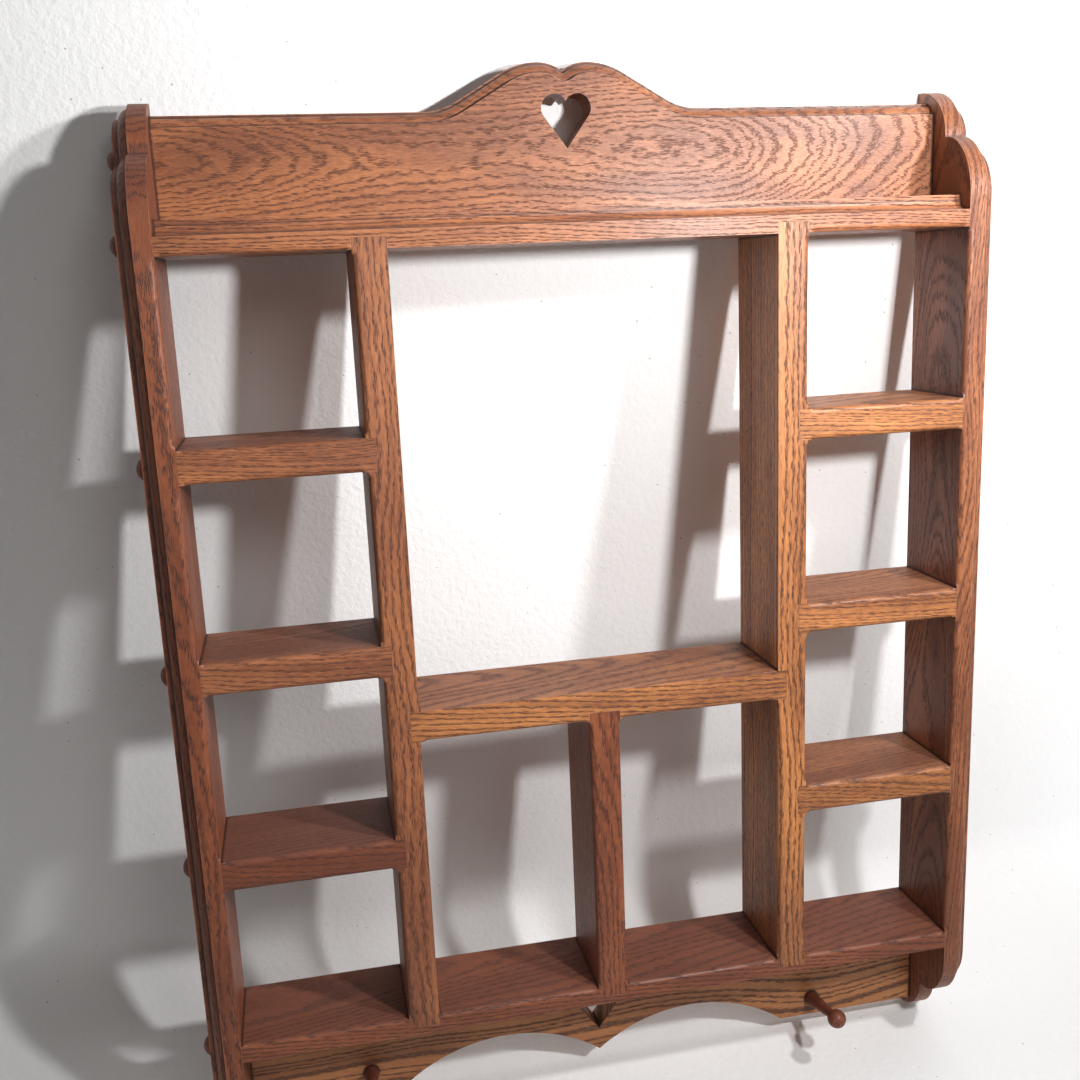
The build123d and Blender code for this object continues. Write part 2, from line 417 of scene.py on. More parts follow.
class GrowthRings(PatternGroup):
    """The rings of the tree round its heart, bent as a trunk bends them."""

    name = "Growth rings"
    takes = {"Point": "Vector", "Spacing": "Float", "Wander": "Float", "Ripple": "Float"}
    gives = {"Early": "Float", "Age": "Float"}

    slow_bend = (1 / 150, 1 / 48, 1 / 48)
    quick_bend = (1 / 7, 1 / 5, 1 / 5)
    year_pace = 0.11
    year_spread = 3.0
    early_fades = (0.1, 0.46)
    early_starts = (0.94, 1.0)

    def build(self, bench: Bench, takes: Sockets) -> Sockets:
        """Bends the point, measures it from the heart and finds its place in its ring.

        Args:
            bench: Works on the group's tree.
            takes: The group's inputs by name.

        Returns:
            The outputs by name.
        """
        bent = takes["Point"]
        bends = ((self.slow_bend, takes["Wander"]), (self.quick_bend, takes["Ripple"]))
        for size, amount in bends:
            noise = bench.noise(bench.vector("MULTIPLY", takes["Point"], size), 0.0)
            push = bench.vector("SUBTRACT", noise.outputs["Color"], (0.5, 0.5, 0.5))
            strength = bench.join(0.0, amount, amount)
            bent = bench.vector("ADD", bent, bench.vector("MULTIPLY", push, strength))
        _, across, up = bench.parts(bent)
        radius = bench.vector("LENGTH", bench.join(0.0, across, up))
        years = bench.math("SUBTRACT", bench.noise_on_line(radius, self.year_pace), 0.5)
        uneven = bench.math("MULTIPLY", years, self.year_spread)
        age = bench.math("ADD", bench.math("DIVIDE", radius, takes["Spacing"]), uneven)
        place = bench.math("FRACT", age)
        fading = bench.step(place, *self.early_fades, 1.0, 0.0)
        starting = bench.step(place, *self.early_starts)
        return {"Early": bench.math("MAXIMUM", fading, starting), "Age": age}


class FinePores(PatternGroup):
    """Small open pores scattered through the late wood."""

    name = "Fine pores"
    takes = {"Point": "Vector", "Reach": "Float"}
    gives = {"Pore": "Float"}

    size = (2.4, 0.36, 0.36)
    rim = 0.2

    def build(self, bench: Bench, takes: Sockets) -> Sockets:
        """Draws the middle of each small cell.

        Args:
            bench: Works on the group's tree.
            takes: The group's inputs by name.

        Returns:
            The outputs by name.
        """
        cells = bench.cells(bench.vector("DIVIDE", takes["Point"], self.size))
        edge = bench.math("SUBTRACT", takes["Reach"], self.rim)
        return {"Pore": bench.step(cells.outputs["Distance"], edge, takes["Reach"], 1.0, 0.0)}


class RayFleck(PatternGroup):
    """Rays, thin sheets that stand out from the heart and show as flecks on a quartered face."""

    name = "Ray fleck"
    takes = {"Point": "Vector"}
    gives = {"Fleck": "Float"}

    size = (1 / 9, 1 / 14, 1 / 0.9)
    round_tree = 70.0
    slant = 0.8
    chosen = (0.62, 0.72)
    body = (0.25, 0.6)

    def build(self, bench: Bench, takes: Sockets) -> Sockets:
        """Makes cells that are long outwards and along the grain, and thin round the tree.

        Args:
            bench: Works on the group's tree.
            takes: The group's inputs by name.

        Returns:
            The outputs by name.
        """
        along, across, up = bench.parts(takes["Point"])
        radius = bench.vector("LENGTH", bench.join(0.0, across, up))
        angle = bench.math("MULTIPLY", bench.math("ARCTAN2", up, across), self.round_tree)
        slanted = bench.math("ADD", along, bench.math("MULTIPLY", radius, self.slant))
        cells = bench.cells(bench.vector("MULTIPLY", bench.join(slanted, radius, angle), self.size))
        chosen = bench.step(bench.parts(cells.outputs["Color"])[0], *self.chosen)
        body = bench.step(cells.outputs["Distance"], *self.body, 1.0, 0.0)
        return {"Fleck": bench.math("MULTIPLY", chosen, body)}


class EdgeWear(PatternGroup):
    """Where hands and cloths have rubbed the arrises, in patches."""

    name = "Edge wear"
    takes = {"Point": "Vector"}
    gives = {"Edge": "Float", "Worn": "Float"}

    reach = 0.0007
    samples = 4
    turned_away = (0.82, 0.99)
    patch = (1 / 16, 1 / 6, 1 / 6)
    patch_detail = (3.0, 0.65)
    rubbed = (0.4, 0.58)

    def build(self, bench: Bench, takes: Sockets) -> Sockets:
        """Compares the face with a rounded-off copy of it, and breaks the result up.

        Args:
            bench: Works on the group's tree.
            takes: The group's inputs by name.

        Returns:
            The outputs by name.
        """
        rounded = bench.fed("ShaderNodeBevel", {"Radius": self.reach}, samples=self.samples)
        face = bench.node("ShaderNodeNewGeometry")
        agree = bench.vector("DOT_PRODUCT", rounded.outputs[0], face.outputs["Normal"])
        edge = bench.step(agree, *self.turned_away, 1.0, 0.0)
        place = bench.vector("MULTIPLY", takes["Point"], self.patch)
        patches = bench.noise(place, *self.patch_detail).outputs["Fac"]
        worn = bench.math("MULTIPLY", edge, bench.step(patches, *self.rubbed))
        return {"Edge": edge, "Worn": worn}


class Patterns:
    """The groups that the finishes share."""

    def __init__(self) -> None:
        """Builds each group once."""
        self.vessels = Vessels()
        self.rings = GrowthRings()
        self.pores = FinePores()
        self.fleck = RayFleck()
        self.wear = EdgeWear()


@dataclass(frozen=True)
class WoodFinish:
    """Stained and varnished wood, laid out on one piece.

    Patterns are sized in millimetres in the tree. The reach of a crevice and the depth of a
    pore are in metres. A pair is where a smooth step starts and ends.
    """

    name: str
    stain: Stain
    cut: Cut

    # How far apart in the log two seeds are, and the scale of a crooked trunk's curve.
    seed_step = -70.0
    crook_length, crook_depth = 500.0, 100.0

    # How a vessel fades from its middle, how much early wood opens it, and the fine pores.
    vessel_edge = (0.3, 0.66)
    vessel_opens = (0.0, 0.2)
    vessel_chance = -0.6
    fine_reach, fine_growth, fine_share = 0.3, 0.12, 0.45

    # The dark of crevices is painted shade, darker the more closed in a crevice is; wear doesn't
    # reach it, and a face that looks at the wall gets no painted shade.
    crevice, crevice_samples = 0.0017, 8
    grime_gain, grime_share, wear_loss = 5.0, 0.95, 16.0
    wall_side = (0.3, 0.7)
    housing_blur = 0.5

    # Clouds and fibres of stain, and what they, the rings and a board's tone add to its depth.
    cloud_size, cloud_detail = (120.0, 26.0, 26.0), 2.0
    fibre_size, fibre_detail = (7.0, 0.9, 0.9), (3.0, 0.62)
    cloud_steps, age_pace = (0.34, 0.66), 0.8
    cloud_tone, age_tone, fibre_tone, plain_tone = 0.55, 0.5, 1.7, -0.85

    # Dust lies on level faces, thinner where the clouds are.
    level_face = (0.6, 0.95)
    film_steps, thin_film = (0.3, 0.7), 0.55

    # The varnish: its roughness and what is added to it, its relief, and its gloss.
    rough, pore_rough, fibre_rough, dust_rough = 0.4, 0.22, 0.14, 0.35
    pore_depth, pore_strength, fibre_height = 0.00022, 0.55, 0.35
    shine, coat, coat_rough = 0.32, 0.08, 0.28

    def point(self, bench: Bench, middle: Vector) -> tuple[Socket, Socket]:
        """A point on the board and in the tree, both in millimetres.

        Args:
            bench: Works on the material's tree.
            middle: The board's middle, in metres.

        Returns:
            The distance along the board from its middle, and the point from the heart of the
            tree, with X along the trunk.
        """
        lean_y, lean_z = (math.radians(angle) for angle in self.cut.lean)
        on_board = {
            "Vector": bench.node("ShaderNodeTexCoord").outputs["Object"],
            "Location": middle,
            "Rotation": self.cut.grain.turn(),
            "Scale": (MM, MM, MM),
        }
        board = bench.fed("ShaderNodeMapping", on_board, vector_type="TEXTURE").outputs[0]
        in_tree = {
            "Vector": board,
            "Location": (self.seed_step * self.cut.seed, *self.cut.heart),
            "Rotation": (0.0, lean_y, lean_z),
        }
        trunk = bench.fed("ShaderNodeMapping", in_tree, vector_type="TEXTURE").outputs[0]
        along = bench.parts(board)[0]
        if self.cut.sweep:
            trunk = bench.vector("ADD", trunk, self.crook(bench, along))
        return along, trunk

    def crook(self, bench: Bench, along: Socket) -> Socket:
        """How far a crooked trunk's heart lies from its usual place.

        Args:
            bench: Works on the material's tree.
            along: The distance along the board from its middle.

        Returns:
            The offset to add to a point in the tree.
        """
        length, depth = self.crook_length, self.crook_depth
        curve = bench.node("ShaderNodeFloatCurve")
        bench.feed(curve.inputs["Value"], bench.math("MULTIPLY_ADD", along, 1 / length, 0.5))
        line = curve.mapping.curves[0]
        places = [(place / length + 0.5, distance / depth) for place, distance in self.cut.sweep]
        line.points[0].location, line.points[1].location = places[0], places[-1]
        for place in places[1:-1]:
            line.points.new(*place)
        curve.mapping.update()
        return bench.join(0.0, bench.math("MULTIPLY", curve.outputs[0], -depth), 0.0)

    def figure(self, bench: Bench, patterns: Patterns, point: Socket) -> Sockets:
        """The rings and pores at a point.

        Args:
            bench: Works on the material's tree.
            patterns: The shared groups.
            point: The point in the tree.

        Returns:
            Early, the share of early wood, Age, the count of rings, and Pores.
        """
        cut = self.cut
        vessel = patterns.vessels.place(bench, Point=point)
        rings = patterns.rings.place(
            bench, Point=vessel["Middle"], Spacing=cut.spacing, Wander=cut.wander, Ripple=cut.ripple
        )
        early = rings["Early"]
        open_here = bench.math("MULTIPLY_ADD", vessel["Chance"], self.vessel_chance, early)
        stroke = bench.step(vessel["Distance"], *self.vessel_edge, 1.0, 0.0)
        pores = bench.math("MULTIPLY", bench.step(open_here, *self.vessel_opens), stroke)
        reach = bench.math("MULTIPLY_ADD", early, self.fine_growth, self.fine_reach)
        fine = patterns.pores.place(bench, Point=point, Reach=reach)["Pore"]
        pores = bench.math("MAXIMUM", pores, bench.math("MULTIPLY", fine, self.fine_share))
        return {"Early": early, "Age": rings["Age"], "Pores": pores}

    def use_marks_and_shade(
        self, bench: Bench, patterns: Patterns, along: Socket, point: Socket, half: float
    ) -> Sockets:
        """What years of use have left on the board, and painted shade in its corners and crevices.

        Args:
            bench: Works on the material's tree.
            patterns: The shared groups.
            along: The distance along the board from its middle.
            point: The point in the tree.
            half: Half of the board's length.

        Returns:
            Worn, on the arrises, a darkening made of painted shade in corners and dark joints round
            housed ends, and Dusty, on top.
        """
        # Painted shade: ambient occlusion darkens corners and crevices between boards.
        crevice = {"Distance": self.crevice}
        shadow = bench.fed("ShaderNodeAmbientOcclusion", crevice, samples=self.crevice_samples)
        closed = bench.math("SUBTRACT", 1.0, shadow.outputs["AO"])
        face = bench.node("ShaderNodeNewGeometry")
        _, behind, upwards = bench.parts(face.outputs["Normal"])
        grime = bench.math("MULTIPLY", closed, self.grime_gain, clamp=True)
        grime = bench.math("MULTIPLY", grime, bench.step(behind, *self.wall_side, 1.0, 0.0))
        edges = patterns.wear.place(bench, Point=point)
        sheltered = bench.math("MULTIPLY", closed, self.wear_loss)
        worn = bench.math("SUBTRACT", edges["Worn"], sheltered, clamp=True)
        if self.cut.housing:
            end = half - self.cut.housing
            housed = bench.step(bench.math("ABSOLUTE", along), end - self.housing_blur, end)
            worn = bench.math("SUBTRACT", worn, housed, clamp=True)
            # The arrises round housed ends are dark joint lines.
            grime = bench.math("MAXIMUM", grime, bench.math("MULTIPLY", housed, edges["Edge"]))
        dusty = bench.step(upwards, *self.level_face, 0.0, self.cut.dust)
        return {"Worn": worn, "JointsAndShade": grime, "Dusty": dusty}

    def wood(self, bench: Bench, age: Socket, clouds: Socket, fibres: Socket) -> Socket:
        """The stained late wood, lighter and darker by its rings, clouds and fibres.

        Args:
            bench: Works on the material's tree.
            age: The count of rings.
            clouds: Slow noise.
            fibres: Noise drawn out along the grain.

        Returns:
            The colour.
        """
        ages = bench.noise_on_line(age, self.age_pace)
        tone = bench.math("MULTIPLY", bench.step(clouds, *self.cloud_steps), self.cloud_tone)
        tone = bench.math("MULTIPLY_ADD", ages, self.age_tone, tone)
        tone = bench.math("ADD", tone, self.cut.tone + self.plain_tone)
        tone = bench.math("MULTIPLY_ADD", fibres, self.fibre_tone, tone)
        share = bench.math("MULTIPLY", tone, 1.0, clamp=True)
        return bench.mix(share, self.stain.late, self.stain.deep)

    def material(
        self, patterns: Patterns, middle: Vector, half: float = 0.0
    ) -> bpy.types.Material:
        """Makes the material.

        Args:
            patterns: The shared groups.
            middle: The board's middle, in metres.
            half: Half of the board's length, in millimetres.

        Returns:
            The new material.
        """
        made, bench = new_material(self.name)
        cut, stain = self.cut, self.stain
        along, point = self.point(bench, middle)
        figure = self.figure(bench, patterns, point)
        marks = self.use_marks_and_shade(bench, patterns, along, point, half)
        cloud_point = bench.vector("DIVIDE", point, self.cloud_size)
        clouds = bench.noise(cloud_point, self.cloud_detail).outputs["Fac"]
        fibre_point = bench.vector("DIVIDE", point, self.fibre_size)
        fibres = bench.noise(fibre_point, *self.fibre_detail).outputs["Fac"]
        layers = [(figure["Early"], cut.early, stain.early)]
        if cut.fleck:
            fleck = patterns.fleck.place(bench, Point=point)["Fleck"]
            layers.append((fleck, cut.fleck, stain.late))
        film = bench.step(clouds, *self.film_steps, 1.0, self.thin_film)
        layers += [
            (figure["Pores"], cut.pores, stain.pore),
            (marks["Dusty"], film, stain.dust),
            (marks["Worn"], cut.wear, stain.worn),
            # Painted shade in crevices, together with the dark of housed joints, in the pore
            # colour.
            (marks["JointsAndShade"], self.grime_share, stain.pore),
        ]
        colour = self.wood(bench, figure["Age"], clouds, fibres)
        for mask, share, tint in layers:
            colour = bench.mix(bench.math("MULTIPLY", mask, share), colour, tint)

        rough = bench.math("MULTIPLY_ADD", figure["Pores"], self.pore_rough, self.rough)
        rough = bench.math("MULTIPLY_ADD", fibres, self.fibre_rough, rough)
        rough = bench.math("MULTIPLY_ADD", marks["Dusty"], self.dust_rough, rough)
        raised = bench.math("MULTIPLY", fibres, self.fibre_height)
        height = bench.math("MULTIPLY_ADD", figure["Pores"], -1.0, raised)
        varnish = {
            "Base Color": colour,
            "Roughness": rough,
            "Normal": bench.relief(height, self.pore_depth, self.pore_strength),
            "Specular IOR Level": self.shine,
            "Coat Weight": self.coat,
            "Coat Roughness": self.coat_rough,
        }
        skin = bench.fed("ShaderNodeBsdfPrincipled", varnish)
        bench.fed("ShaderNodeOutputMaterial", {"Surface": skin.outputs[0]})
        return made


STAINED_OAK = Stain(
    late=shade(176, 112, 72),
    deep=shade(118, 69, 46),
    early=shade(98, 56, 38),
    pore=shade(66, 36, 26),
    worn=shade(206, 150, 118),
    dust=shade(120, 84, 72),
)
GOLDEN_OAK = Stain(
    late=shade(192, 126, 74),
    deep=shade(116, 68, 43),
    early=shade(90, 50, 32),
    pore=shade(54, 28, 19),
    worn=shade(212, 156, 122),
    dust=shade(120, 84, 72),
)
DARK_OAK = Stain(
    late=shade(142, 80, 50),
    deep=shade(104, 56, 37),
    early=shade(82, 44, 31),
    pore=shade(62, 33, 24),
    worn=shade(184, 122, 92),
    dust=shade(112, 76, 66),
)
YELLOW_OAK = Stain(
    late=shade(182, 122, 74),
    deep=shade(142, 88, 54),
    early=shade(88, 52, 33),
    pore=shade(60, 34, 24),
    worn=shade(206, 150, 100),
    dust=shade(138, 98, 76),
)
TURNED_MAPLE = Stain(
    late=shade(128, 66, 44),
    deep=shade(96, 46, 32),
    early=shade(84, 38, 27),
    pore=shade(52, 24, 18),
    worn=shade(156, 88, 60),
    dust=shade(110, 66, 52),
)


def turned_cut(seed: float) -> Cut:
    """The cut of a small turned piece, from the part of the log that the seed says."""
    return Cut(Grain.ACROSS, (9.0, 14.0), (0.0, 0.0), seed, spacing=1.6, early=0.3, pores=0.6)


@dataclass(frozen=True)
class SteelFinish:
    """Zinc-plated steel with fine turning marks. Patterns are sized as repeats to a metre."""

    name: str = "zinc_screw_steel"
    bright: Colour = shade(196, 197, 200)
    dull: Colour = shade(142, 143, 146)
    spot_scale: tuple[float, float, float] = (900, 900, 900)
    mark_scale: tuple[float, float, float] = (9000, 300, 300)
    spot_steps: tuple[float, float] = (0.3, 0.7)
    rough: tuple[float, float] = (0.25, 0.45)
    mark_depth: float = 0.00003
    mark_strength: float = 0.3

    def material(self) -> bpy.types.Material:
        """Makes the material.

        Returns:
            The new material.
        """
        made, bench = new_material(self.name)
        place = bench.node("ShaderNodeTexCoord").outputs["Object"]
        spots = bench.noise(bench.vector("MULTIPLY", place, self.spot_scale), 2.0).outputs["Fac"]
        marks = bench.noise(bench.vector("MULTIPLY", place, self.mark_scale)).outputs["Fac"]
        plating = {
            "Base Color": bench.mix(spots, self.bright, self.dull),
            "Roughness": bench.step(spots, *self.spot_steps, *self.rough),
            "Metallic": 1.0,
            "Normal": bench.relief(marks, self.mark_depth, self.mark_strength),
        }
        skin = bench.fed("ShaderNodeBsdfPrincipled", plating)
        bench.fed("ShaderNodeOutputMaterial", {"Surface": skin.outputs[0]})
        return made


def middle_of(node: str) -> Vector:
    """The middle of a CAD node's box, in metres."""
    low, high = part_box(node)
    return (low + high) / 2


class Boards:
    """The sixteen boards of the shelf and the cut that each was given."""

    arris = 0.00045
    arris_steps = 2
    flat_angle = math.radians(0.5)
    sharp_angle = math.radians(40)
    housing = 6.35
    crest_places = (-250.0, -187.0, -126.0, -72.0, -40.0, 0.0, 56.0, 92.0, 130.0, 250.0)
    crest_hearts = (14.0, 19.0, 26.8, 29.6, 30.0, 26.5, 22.0, 23.8, 33.0, 66.0)

    def __init__(self, nodes: dict[str, bpy.types.Object], patterns: Patterns) -> None:
        """Keeps what the boards are dressed with.

        Args:
            nodes: The CAD nodes by name.
            patterns: The shared groups.
        """
        self.nodes = nodes
        self.patterns = patterns

    def rails(self) -> dict[str, tuple[Stain, Cut]]:
        """The stain and cut of the crest and apron rails.

        Returns:
            A stain and a cut by the board's name.
        """
        crest = Cut(
            Grain.ACROSS,
            heart=(-9.5, -9.0),
            lean=(0.0, 0.0),
            seed=3.1,
            sweep=tuple(zip(self.crest_places, self.crest_hearts)),
            wander=8.0,
            ripple=2.0,
            early=0.55,
            pores=0.7,
            dust=0.1,
            tone=0.08,
        )
        apron = Cut(
            Grain.ACROSS,
            heart=(30.0, -46.0),
            lean=(2.0, -2.0),
            seed=2.2,
            spacing=4.0,
            wander=30.0,
            early=0.8,
            pores=0.75,
        )
        return {"crest_rail": (STAINED_OAK, crest), "apron_rail": (YELLOW_OAK, apron)}

    def long_shelves(self) -> dict[str, tuple[Stain, Cut]]:
        """The stain and cut of the top, bottom and centre shelves.

        Returns:
            A stain and a cut by the board's name.
        """
        housed = partial(Cut, Grain.ACROSS, housing=self.housing)
        top = housed((-25.0, -48.0), (1.5, 0.0), 11.3, spacing=2.2)
        bottom = housed((10.0, -58.0), (3.0, 2.0), 5.7, wear=0.9)
        centre = housed((6.0, -34.0), (5.0, 1.0), 8.4, spacing=3.0, wear=0.85)
        return {
            "top_shelf": (STAINED_OAK, top),
            "bottom_shelf": (DARK_OAK, bottom),
            "centre_shelf": (GOLDEN_OAK, centre),
        }

    def uprights(self) -> dict[str, tuple[Stain, Cut]]:
        """The stain and cut of the side panels and dividers.

        Returns:
            A stain and a cut by the board's name.
        """
        upright = Grain.UPRIGHT
        panel_left = Cut(upright, (20.0, 76.0), (2.0, 2.0), 21.0, ripple=1.8)
        panel_right = Cut(upright, (-6.0, 33.0), (4.0, 0.0), 17.5, wander=24.0, tone=0.36)
        housed = partial(Cut, upright, wear=0.3, housing=self.housing)
        left = housed((16.0, 82.0), (1.0, 1.0), 31.0, ripple=1.8, tone=0.1)
        right = housed((66.0, 74.0), (1.0, 0.5), 14.2, wander=8.0, tone=-0.12)
        centre = housed((8.0, 64.0), (2.0, 4.0), 9.9, fleck=0.75)
        return {
            "side_panel_left": (DARK_OAK, panel_left),
            "side_panel_right": (STAINED_OAK, panel_right),
            "divider_left": (STAINED_OAK, left),
            "divider_right": (GOLDEN_OAK, right),
            "centre_divider": (DARK_OAK, centre),
        }

    def short_shelves(self) -> dict[str, tuple[Stain, Cut]]:
        """The stain and cut of the six shelves in the side columns, each a board of its own.

        Returns:
            A stain and a cut by the board's name.
        """
        made = {}
        for column, side in enumerate(("left", "right")):
            for place, level in enumerate(("upper", "middle", "lower")):
                # Shelves lower in a column and shelves in the left column get a higher tone. The
                # lowest on the left gets the dark stain and the right column the golden one, so
                # these shelves are darker towards the bottom and the left.
                cut = Cut(
                    Grain.ACROSS,
                    heart=(10.0 - 9.0 * place, -44.0 - 8.0 * column),
                    lean=(3.0, 2.0 * place),
                    seed=40.0 + 7.3 * (3 * column + place),
                    early=0.5,
                    pores=0.7,
                    wear=0.9,
                    tone=0.25 * place - 0.25 * column,
                    housing=self.housing,
                )
                dark = DARK_OAK if level == "lower" else STAINED_OAK
                made[f"{side}_shelf_{level}"] = (GOLDEN_OAK if side == "right" else dark, cut)
        return made

    def ease(self, board: bpy.types.Object) -> None:
        """Takes the sharpness off a board's arrises, as sandpaper does.

        Args:
            board: The CAD node's object.
        """
        weld = board.modifiers.new("weld", "WELD")
        weld.merge_threshold = SAME_SPOT
        flat = board.modifiers.new("flat", "DECIMATE")
        flat.decimate_type = "DISSOLVE"
        flat.angle_limit = self.flat_angle
        arris = board.modifiers.new("arris", "BEVEL")
        arris.width = self.arris
        arris.segments = self.arris_steps
        arris.limit_method = "ANGLE"
        arris.angle_limit = self.sharp_angle
        even = board.modifiers.new("even", "WEIGHTED_NORMAL")
        even.keep_sharp = True

    def dress(self) -> None:
        """Eases each board and gives it its finish."""
        groups = (self.rails(), self.long_shelves(), self.uprights(), self.short_shelves())
        for name, (stain, cut) in (board for group in groups for board in group.items()):
            board = self.nodes[name]
            self.ease(board)
            low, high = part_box(name)
            length = (high - low).z if cut.grain is Grain.UPRIGHT else (high - low).x
            finish = WoodFinish(f"oak_{name}", stain, cut)
            material = finish.material(self.patterns, middle_of(name), length / MM / 2)
            for slot in board.material_slots:
                slot.material = material
            LOG.info("board %s: %s", name, material.name)


def spun(profile: Iterable[tuple[float, float]], steps: int) -> bpy.types.Mesh:
    """A solid turned about the X axis from half of its outline.

    Args:
        profile: Places along the axis and radii, in millimetres, from end to end.
        steps: Facets round the axis.

    Returns:
        The mesh, in metres, with its faces outwards.
    """
    work = bmesh.new()
    line = [work.verts.new((along * MM, 0.0, radius * MM)) for along, radius in profile]
    for pair in zip(line, line[1:]):
        work.edges.new(pair)
    bmesh.ops.spin(
        work,
        geom=work.verts[:] + work.edges[:],
        cent=ORIGIN,
        axis=(1.0, 0.0, 0.0),
        angle=math.tau,
        steps=steps,
        use_merge=True,
    )
    bmesh.ops.remove_doubles(work, verts=work.verts, dist=SAME_SPOT)
    bmesh.ops.recalc_face_normals(work, faces=work.faces)
    return new_mesh("turned", work)


def placed(
    name: str, parts: Iterable[bpy.types.Mesh], places: Iterable[Matrix], sharp: float
) -> bpy.types.Object:
    """One piece made of the same parts at several places.

    Args:
        name: The piece's name.
        parts: Meshes that make up one copy.
        places: Where each copy goes.
        sharp: The angle past which an edge is sharp.

    Returns:
        The new object, smooth apart from its sharp edges.
    """
    work = bmesh.new()
    for place in places:
        for part in parts:
            before = len(work.verts)
            work.from_mesh(part)
            work.verts.ensure_lookup_table()
            bmesh.ops.transform(work, matrix=place, verts=work.verts[before:])
    bmesh.ops.recalc_face_normals(work, faces=work.faces)
    mesh = new_mesh(name, work)
    mesh.shade_smooth()
    mesh.set_sharp_from_angle(angle=sharp)
    return new_object(name, mesh)


@dataclass
class Fasteners:
    """The screws through each side panel, and the turned buttons that plug the holes over them.

    Sizes are in millimetres and turns in degrees. A button's head stands proud of the panel's
    outer face, and a screw's head sits on the floor of the hole under it. The thread's root,
    width and start are shares of the shank's radius, of the pitch and of the shank's length.
    """

    panel_outer: float = 251.7
    hole_floor: float = 242.2
    tenon_radius: float = 4.76
    tenon_length: float = 5.8
    head_radius: float = 6.35
    head_rise: float = 5.3
    button_facets: int = 28
    button_seed: float = 61.0
    screw_head_radius: float = 4.15
    screw_head: float = 3.5
    screw_facets: int = 20
    shank_radius: float = 2.1
    shank_length: float = 31.75
    thread_pitch: float = 2.1
    thread_turns: int = 8
    thread_facets: int = 14
    thread_root: float = 0.6
    thread_width: float = 0.22
    thread_start: float = 0.33
    sharp_edge: float = 38.0
    first_turn: float = 11.0
    turn_step: float = 53.0
    rail_spots: tuple[tuple[float, float], ...] = ((-9.525, 8.6), (-9.525, -556.05))
    shelf_setback: float = 38.1
    shelf_heights: tuple[float, ...] = (-37.425, -158.075, -278.725, -399.375, -520.025)

    def spots(self) -> list[tuple[float, float]]:
        """The screws' places on a panel, as Y and Z."""
        return [*self.rail_spots, *((-self.shelf_setback, height) for height in self.shelf_heights)]

    def places(self, side: int, start: float) -> list[Matrix]:
        """Where a side's copies go, each turned differently about its own axis.

        Args:
            side: -1 for the left panel, 1 for the right.
            start: Distance from the middle of the shelf, in millimetres.

        Returns:
            One matrix for each screw.
        """
        made = []
        outward = Matrix.Rotation(0.0 if side > 0 else math.pi, 4, "Z")
        for count, (back, height) in enumerate(self.spots()):
            spot = Matrix.Translation(Vector((side * start, back, height)) * MM)
            turn = math.radians(self.turn_step * count + self.first_turn)
            made.append(spot @ outward @ Matrix.Rotation(turn, 4, "X"))
        return made

    def button(self) -> bpy.types.Mesh:
        """A tenon under a low mushroom head with a rolled rim.

        Returns:
            The mesh, pointing along X.
        """
        tenon, head, rise = self.tenon_radius, self.head_radius, self.head_rise
        profile = (
            (-self.tenon_length, 0.0),
            (-self.tenon_length, tenon - 0.5),
            (-self.tenon_length + 0.5, tenon),
            (0.0, tenon),
            (0.0, head - 0.45),
            (0.25, head - 0.1),
            (0.8, head),
            (1.45, head - 0.1),
            (2.3, head - 0.45),
            (rise * 0.62, head * 0.8),
            (rise * 0.79, head * 0.62),
            (rise * 0.91, head * 0.42),
            (rise * 0.98, head * 0.2),
            (rise, 0.0),
        )
        return spun(profile, self.button_facets)

    def shank(self) -> bpy.types.Mesh:
        """A pan head over a plain neck and a core that ends in a point.

        Returns:
            The mesh, with its head at the start of X.
        """
        head, rise, core = self.screw_head_radius, self.screw_head, self.shank_radius
        length = self.shank_length
        profile = (
            (rise - 1.9, 0.0),
            (rise - 1.2, 0.9),
            (rise, 1.1),
            (rise - 0.1, head * 0.55),
            (rise * 0.72, head * 0.9),
            (rise * 0.4, head),
            (0.0, head),
            (0.0, core),
            (-length * 0.3, core),
            (-length * 0.32, core * 0.68),
            (-length * 0.86, core * 0.66),
            (-length, 0.0),
        )
        return spun(profile, self.screw_facets)

    def thread(self) -> bpy.types.Mesh:
        """The thread, a ridge wound round the core.

        Returns:
            The mesh.
        """
        turns, steps = self.thread_turns, self.thread_facets
        root, crest = self.shank_radius * self.thread_root, self.shank_radius
        wide, start = self.thread_pitch * self.thread_width, -self.shank_length * self.thread_start
        work = bmesh.new()
        corners = ((start - wide, root), (start, crest), (start + wide, root))
        ridge = [work.verts.new((along * MM, 0.0, radius * MM)) for along, radius in corners]
        work.faces.new(ridge)
        bmesh.ops.spin(
            work,
            geom=work.faces[:] + work.edges[:] + work.verts[:],
            cent=ORIGIN,
            axis=(1.0, 0.0, 0.0),
            dvec=(-self.thread_pitch * MM / steps, 0.0, 0.0),
            angle=math.tau * turns,
            steps=steps * turns,
        )
        bmesh.ops.recalc_face_normals(work, faces=work.faces)
        return new_mesh("thread", work)

    def build(self, patterns: Patterns) -> None:
        """Makes each side's buttons and screws and dresses them.

        Args:
            patterns: The shared groups.
        """
        steel = SteelFinish().material()
        sharp = math.radians(self.sharp_edge)
        for name, side in (("left", -1), ("right", 1)):
            node = f"buttons_{name}"
            places = self.places(side, self.panel_outer)
            buttons = placed(f"turned_{node}", [self.button()], places, sharp)
            cut = turned_cut(self.button_seed + side)
            finish = WoodFinish(f"turned_wood_{node}", TURNED_MAPLE, cut)
            buttons.data.materials.append(finish.material(patterns, middle_of(node)))
            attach(buttons, BODY)
            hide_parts(node)
            LOG.info("turned buttons, %s: %d", name, len(self.spots()))
            parts, places = [self.shank(), self.thread()], self.places(side, self.hole_floor)
            screws = placed(f"screws_{name}", parts, places, sharp)
            screws.data.materials.append(steel)
            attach(screws, BODY)
            LOG.info("screws, %s: %d", name, len(self.spots()))


